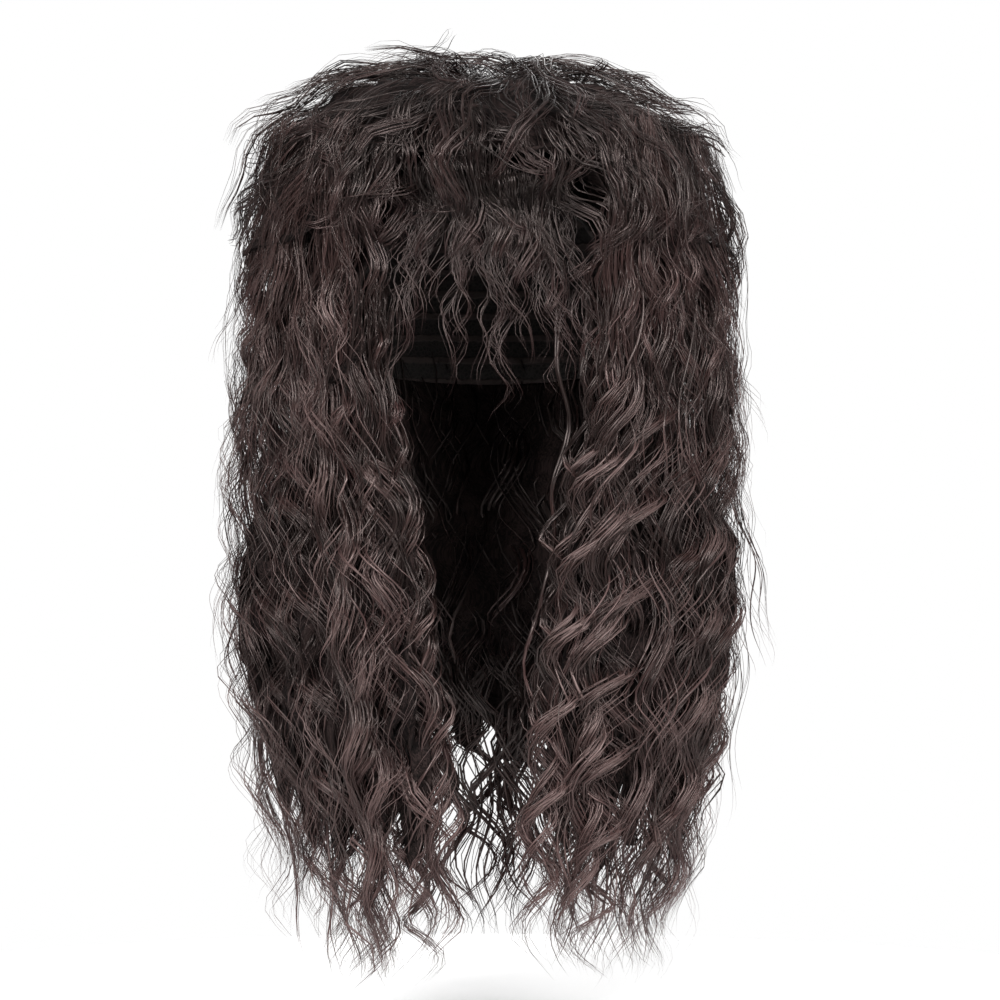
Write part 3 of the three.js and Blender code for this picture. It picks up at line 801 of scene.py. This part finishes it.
# Side lengths
# The long locks at either side, sewn below the side layers. They fall forward past the opening
# at the front and end lowest beside the middle.
for side_name, turn, tips, seed in [
    ("left", left_turn, [(0, -0.45), (0.3, -0.472), (0.7, -0.468), (1, -0.44)], 21),
    ("right", right_turn, [(0, -0.455), (0.3, -0.482), (0.7, -0.468), (1, -0.43)], 22),
]:
    rng = np.random.default_rng(seed)
    node_name = side_name + "_length"
    base = under_hair(node_name, node_name + "_inner", LONG_INSET, LONG_KNEE, keep=0.74)
    base.data.materials.append(inner_hair_shaded)
    top = [(0, -0.1), (0.3, -0.13), (1, -0.14)]
    ends_top = [(0, -0.3), (1, -0.3)]
    dressing = strands(
        node_name + "_strands",
        [
            hanging(rng, turn, 18, FULL_LOCK, top, tips, (-0.016, 0.001), WAVE, 48,
                    early=0.15, flare=0.4),
            hanging(rng, turn, 12, LOOSE_LOCK, top, tips, (-0.008, 0.007), WAVE, 48,
                    flare=0.4, flick=0.015, curl=0.9),
            hanging(rng, turn, 6, INNER_LOCK, top, tips, (-0.003, 0.003), WAVE, 30, share=(0, 0)),
            hanging(rng, turn, 6, EDGE_LOCK, top, tips, (-0.003, 0.003), WAVE, 48,
                    share=(0.1, 0.9), along=(-0.04, 0.04)),
            hanging(rng, turn, 6, EDGE_LOCK, top, tips, (-0.002, 0.003), WAVE, 40,
                    early=1, flick=0.024),
            hanging(rng, turn, 10, EDGE_LOCK, ends_top, tips, (-0.014, -0.001), WAVE, 22,
                    early=0.2, dip=0.012),
        ],
        hair_fibre,
    )
    add_hair(node_name, base, dressing)


# Side and back layers
# Shorter locks, sewn to the cap above the long ones, that fall over about a third of them. At
# the sides their roots are swept to the front.
SHORT_WAVE = (0.0065, 0.048, -0.035)
SHORT_INSET = [(-0.05, 0.022), (-0.06, 0.014), (-0.1, 0.014), (-0.2, 0.022)]
SHORT_KNEE = -0.09
SIDE_TIPS = [(0, -0.19), (0.5, -0.22), (1, -0.21)]
BACK_TIPS = [(0, -0.21), (0.5, -0.22), (1, -0.21)]
for node_name, turn, locks, recipe, tips, flare, seed in [
    ("left_side_layer", left_turn, 19, FULL_LOCK, SIDE_TIPS, 0.95, 31),
    ("right_side_layer", right_turn, 19, FULL_LOCK, SIDE_TIPS, 0.95, 32),
    ("back_layer", back_turn, 38, BACK_LOCK, BACK_TIPS, 0, 33),
]:
    rng = np.random.default_rng(seed)
    base = under_hair(
        node_name, node_name + "_inner", SHORT_INSET, SHORT_KNEE, keep=0.7, rounds=3, lap=0.02
    )
    base.data.materials.append(inner_hair_shaded)
    top = [(0, -0.025), (0.3, -0.018), (1, -0.018)]
    dressing = strands(
        node_name + "_strands",
        [
            # pale paints these layers' locks lighter than the rest of the hair, as painted light
            hanging(rng, turn, locks, recipe, top, tips, (-0.015, -0.003), SHORT_WAVE, 25,
                    early=0.65, flick=0.014, flare=flare, pale=0.45),
            hanging(rng, turn, 14, LOOSE_LOCK, top, tips, (-0.008, 0.004), SHORT_WAVE, 25,
                    early=0.65, flick=0.02, flare=flare, pale=0.25),
        ],
        hair_fibre,
    )
    add_hair(node_name, base, dressing)


# Crown hair
# Short locks all over the top of the cap, combed back on themselves so that they stand up,
# cross each other and flick out round the sides.
CROWN_CENTRE = np.array([0, 0, -0.045])
CROWN_FAR = 0.4
CROWN_NEAR = 0.07
SLOPES = np.radians(np.arange(0, 142, 3))
head_map = np.full((len(SLOPES), len(TURNS)), np.nan)
for node_name in OUTER_NODES + ["fringe"]:
    tree = tree_of(node_name)
    for i, slope in enumerate(SLOPES):
        for j, turn in enumerate(TURNS):
            way = np.array(
                [math.sin(slope) * math.sin(turn), -math.sin(slope) * math.cos(turn), math.cos(slope)]
            )
            start = tuple(way * CROWN_FAR + CROWN_CENTRE)
            hit = tree.ray_cast(start, tuple(-way), CROWN_FAR - CROWN_NEAR)
            if hit[0] is not None:
                head_map[i, j] = np.nanmax([head_map[i, j], CROWN_FAR - hit[3]])
for i in range(len(SLOPES)):
    known = ~np.isnan(head_map[i])
    head_map[i] = np.interp(TURNS, TURNS[known], head_map[i, known], period=2 * math.pi)
head_map = softened(head_map, 1)


def on_head(out):
    """Distance from the middle of the cap to the hair's surface, along unit directions."""
    slope = np.arccos(np.clip(out[..., 2], -1, 1))
    return read_map(head_map, slope / (SLOPES[1] - SLOPES[0]), np.arctan2(out[..., 0], -out[..., 1]))


# How low the locks reach, by the turn round from the front
LOWEST_TURNS = (0.55, 0.95)
LOWEST_SLOPES = np.radians([106, 138])
SHORTEST = 0.03
# Metres of hair for a radian of slope, and its pull downwards at each step
HAIR_RADIUS = 0.11
HAIR_WEIGHT = np.array([0, 0, -0.035])
CROWN_WAVES = (0.002, 0.0058)
CROWN_WAVE_LENGTHS = (0.036, 0.055)
CROWN_LOCK = 0.018
CROWN_DOME = 0.003
ROOT_DEPTH = 0.008


def combed(rng, locks, recipe, roots, reach, lift, flick, steps, stray=0.4, sweep=0.5,
           turns=(-math.pi, math.pi), shaded=0):
    """Locks that leave the cap between two slopes and two turns round from the front, run down
    over it and lift off towards their tips. They stray to either side and sweep back. In front
    they end below the hairline, and at the sides they droop over the layers. Shaded darkens them
    as painted shade, and a value below 0 lightens them as painted light."""
    # Path of each lock over the hair's surface, a step at a time
    slope = np.arccos(rng.uniform(math.cos(roots[1]), math.cos(roots[0]), locks))
    turn = rng.uniform(*turns, locks)
    out = np.stack([np.sin(slope) * np.sin(turn), -np.sin(slope) * np.cos(turn), np.cos(slope)], -1)
    down = np.stack([np.cos(slope) * np.sin(turn), -np.cos(slope) * np.cos(turn), -np.sin(slope)], -1)
    heading = (rng.normal(0, stray, locks) + sweep * np.sin(turn))[:, None]
    way = down * np.cos(heading) + np.cross(out, down) * np.sin(heading)
    bend = rng.normal(0, min(1.2, 2 * stray), locks)[:, None] / steps
    from_front = math.pi - np.abs(math.pi - np.abs(turn))
    lowest = np.interp(from_front, LOWEST_TURNS, LOWEST_SLOPES) + rng.normal(0, 0.17, locks)
    room = np.maximum(SHORTEST, (lowest - slope) * HAIR_RADIUS)
    length = np.minimum(rng.uniform(*reach, locks), room)
    step = (length / (steps - 1))[:, None]
    path, outs, ways = [], [], []
    for _ in range(steps):
        path.append(CROWN_CENTRE + out * on_head(out)[:, None])
        outs.append(out)
        ways.append(way)
        way = way * np.cos(bend) + np.cross(out, way) * np.sin(bend) + HAIR_WEIGHT
        out = unit(path[-1] + way * step - CROWN_CENTRE)
        way = unit(way - out * np.sum(way * out, axis=1, keepdims=True))
    path, out, way = np.stack(path, 1), np.stack(outs, 1), np.stack(ways, 1)

    # Strands of the locks, with their wave
    lock, broad, seat, frizz = lock_seats(rng, locks, recipe)
    count = len(lock)
    part = np.linspace(0, 1, steps)[None, :]
    size = rng.uniform(*CROWN_WAVES, locks)[lock][:, None] * np.clip(part * 2, 0.2, 1)
    angle = 2 * math.pi * part * (length / rng.uniform(*CROWN_WAVE_LENGTHS, locks))[lock][:, None]
    jitter = rng.normal(0, 0.12 + 0.5 * frizz, count)
    angle = angle + (rng.uniform(0, 2 * math.pi, locks)[lock] + jitter)[:, None]
    closing = 1 - 0.75 * part**1.5
    shift = CROWN_LOCK * seat[:, None] * closing + size * np.sin(angle)
    loose = np.clip(length / 0.1, 0.2, 1)[lock][:, None]
    shift = shift + loose * straying(rng, 0.0008, 0.005, frizz, steps, 3)
    outer = rng.uniform(0, 1, locks)[lock]
    depth = lift[0] + (lift[1] - lift[0]) * outer + rng.normal(0, STRAND_DEPTH, count)
    depth = depth - CROWN_DOME * (2 * seat) ** 2 + frizz * rng.uniform(0, 0.004, count)
    rise = depth[:, None] - ROOT_DEPTH * (1 - np.clip(part * 3.5, 0, 1)) + 0.6 * size * np.cos(angle)
    rise = rise + loose * straying(rng, 0.0006, 0.002, frizz, steps, 3)
    upward = 0.55 + 0.45 * np.clip(out[lock][..., 2], 0, 1)
    rise = rise + rng.uniform(*flick, locks)[lock][:, None] * upward * part**2
    across = np.cross(way, out)[lock]
    half = tapered(rng, broad, part)
    # Painted shade: outer locks lighter and deeper ones darker, and edges of locks darker; the crests
    # of the wave are lighter as a painted highlight
    tone = 0.35 * outer + rng.uniform(-0.15, 0.2, locks)[lock] - shaded
    tone = tone - 0.15 * (2 * seat) ** 2 + rng.normal(0, 0.05 + 0.12 * frizz, count)
    tone = tone[:, None] + 0.12 * np.cos(angle)
    return {
        "line": path[lock] + across * shift[..., None] + out[lock] * rise[..., None],
        "out": out[lock],
        "wide": half,
        "deep": flattened(half, frizz),
        "tone": np.clip(tone, 0, 1),
        "twist": 0.3 * wander(rng, count, steps, 2) - 1.1 * seat[:, None],
    }


CROWN_INSET = [(0.02, 0.011), (0, 0.01), (-0.03, 0.014), (-0.06, 0.016)]
CROWN_KNEE = -0.03
TEASED_LOCK = np.tile([0.2, 0.5, 0.14, 0.65, 0.3, 0.16], 2) / 1000
STRAY_LOCK = LOOSE_LOCK[:5]
# Slopes between which the locks leave the cap, and the turns to which some of them keep
WHORL, TOP, SIDES, FRONT, BACK, ALL_OVER = np.radians(
    [[0, 22], [10, 65], [45, 100], [45, 84], [30, 95], [12, 72]]
)
FRONT_TURNS = (-0.95, 0.95)
BACK_TURNS = (1.7, 4.6)
# A darker copy of the hair fibre for the crown and the fringe, as painted shade
crown_fibre_shaded = hair_material(
    "crown_fibre_shaded",
    dark=(0.003, 0.0015, 0.0013),
    light=(0.028, 0.013, 0.0115),
    tip=(0.048, 0.0225, 0.0215),
)
rng = np.random.default_rng(41)
base = under_hair(
    "crown_hair", "crown_hair_inner", CROWN_INSET, CROWN_KNEE, keep=0.9, rounds=6, tuck=0.02
)
# Inner hair of the crown, painted dark as painted shade
base.data.materials.append(inner_material("inner_whorl_shaded", whorl=True))
dressing = strands(
    "crown_hair_strands",
    [
        # Shaded paints the side locks lighter as painted light and the front locks darker as painted
        # shade
        combed(rng, 32, TEASED_LOCK, WHORL, (0.06, 0.11), (-0.006, 0.005), (0.002, 0.025), 13,
               stray=1.2),
        combed(rng, 56, TEASED_LOCK, TOP, (0.09, 0.14), (-0.008, 0.006), (0, 0.025), 13,
               stray=0.6),
        combed(rng, 46, TEASED_LOCK, SIDES, (0.07, 0.12), (-0.015, -0.002), (0.006, 0.036), 13,
               sweep=0.75, shaded=-0.25),
        combed(rng, 40, TEASED_LOCK, FRONT, (0.07, 0.12), (-0.005, 0.003), (0, 0.004), 13,
               stray=0.35, sweep=0.2, turns=FRONT_TURNS, shaded=0.05),
        combed(rng, 22, TEASED_LOCK, BACK, (0.08, 0.13), (-0.006, 0.002), (0, 0.01), 13,
               turns=BACK_TURNS),
        combed(rng, 40, STRAY_LOCK, ALL_OVER, (0.05, 0.09), (0, 0.009), (0.002, 0.015), 14,
               stray=0.9),
        combed(rng, 20, TEASED_LOCK, FRONT, (0.07, 0.1), (-0.014, -0.005), (0, 0.002), 13,
               stray=0.5, sweep=0.2, turns=FRONT_TURNS, shaded=0.15),
    ],
    crown_fibre_shaded,
)
add_hair("crown_hair", base, dressing)


# Fringe
# Thin wisps on a short strip along the hairline, which fall over the top of the opening with
# gaps between them. Each wisp is a few threads of fine strands.
FRINGE_ROOT = -0.018
HAIRLINE_HALF_WIDTH = 0.084
HAIRLINE_FORWARD = 0.085
FRINGE_FORWARD = 0.101
FRINGE_BOW = 0.13
# Turn of the root in degrees, and the tip's place across and its level
WISPS = [
    (-25, -0.053, -0.108),
    (-20, -0.045, -0.116),
    (-15, -0.042, -0.098),
    (-10, -0.020, -0.122),
    (-5, -0.022, -0.100),
    (0, 0.002, -0.132),
    (4, 0.012, -0.148),
    (9, 0.018, -0.102),
    (14, 0.040, -0.112),
    (19, 0.046, -0.136),
    (25, 0.053, -0.122),
]
WISP_THREADS = 4
THREADS = WISP_THREADS * len(WISPS)
THREAD_LOCK = np.array([0.2, 0.12, 0.32, 0.15, 0.24]) / 1000
THREAD_WIDTH = 0.005
THREAD_WAVES = (0.0025, 0.0065)
THREAD_WAVE_LENGTHS = (0.03, 0.055)
FRINGE_STEPS = 22
rng = np.random.default_rng(51)
thread, broad, seat, frizz = lock_seats(rng, THREADS, THREAD_LOCK)
wisp = thread // WISP_THREADS
count = len(wisp)
angles, tip_xs, tip_zs = np.array(WISPS).T
part = np.linspace(0, 1, FRINGE_STEPS)[None, :]
root_turn = np.radians(angles)[wisp] + rng.normal(0, 0.035, THREADS)[thread]
root_x = HAIRLINE_HALF_WIDTH * np.sin(root_turn)
root_y = HAIRLINE_FORWARD * np.cos(root_turn)[:, None]
tip_x = tip_xs[wisp] + rng.normal(0, 0.006, THREADS)[thread] + rng.normal(0, 0.0015, count)
tip_z = tip_zs[wisp] + rng.normal(0, 0.013, THREADS)[thread] + rng.normal(0, 0.006, count)
level = FRINGE_ROOT + (tip_z - FRINGE_ROOT)[:, None] * part
x = root_x[:, None] + (tip_x - root_x)[:, None] * part**1.3
x = x + THREAD_WIDTH * seat[:, None] * (1 - 0.75 * part)
bow = FRINGE_FORWARD * np.sqrt(np.maximum(0.2, 1 - (x / FRINGE_BOW) ** 2))
forward = root_y + (bow - root_y) * np.sqrt(part) + rng.normal(0, 0.002, (count, 1)) * part
wave_length = rng.uniform(*THREAD_WAVE_LENGTHS, THREADS)[thread][:, None]
angle = 2 * math.pi * (FRINGE_ROOT - level) / wave_length
angle = angle + (rng.uniform(0, 6.28, THREADS)[thread] + rng.normal(0, 0.3, count))[:, None]
angle = angle + 0.8 * wander(rng, THREADS, FRINGE_STEPS, 3)[thread]
swing = rng.uniform(*THREAD_WAVES, THREADS)[thread][:, None] * np.clip(part * 2, 0, 1)
x = x + swing * np.sin(angle) + straying(rng, 0.0008, 0.002, frizz, FRINGE_STEPS, 4)
forward = forward + 0.5 * swing * np.cos(angle)
half = tapered(rng, broad, part)
wisps = {
    "line": np.stack([x, -forward, level], -1),
    "out": np.stack([0 * x, 0 * x - 1, 0 * x], -1),
    "wide": half,
    "deep": half * 0.6,
    # Tone varies at random and is lighter on the crests of the waves, as a painted highlight
    "tone": np.clip(rng.normal(0.2, 0.15, count)[:, None] + 0.12 * np.cos(angle), 0, 1),
    "twist": 0.6 * wander(rng, count, FRINGE_STEPS, 2),
}
fringe_strands = strands("fringe_strands", [wisps], crown_fibre_shaded)
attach(fringe_strands, "root")
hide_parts("fringe")
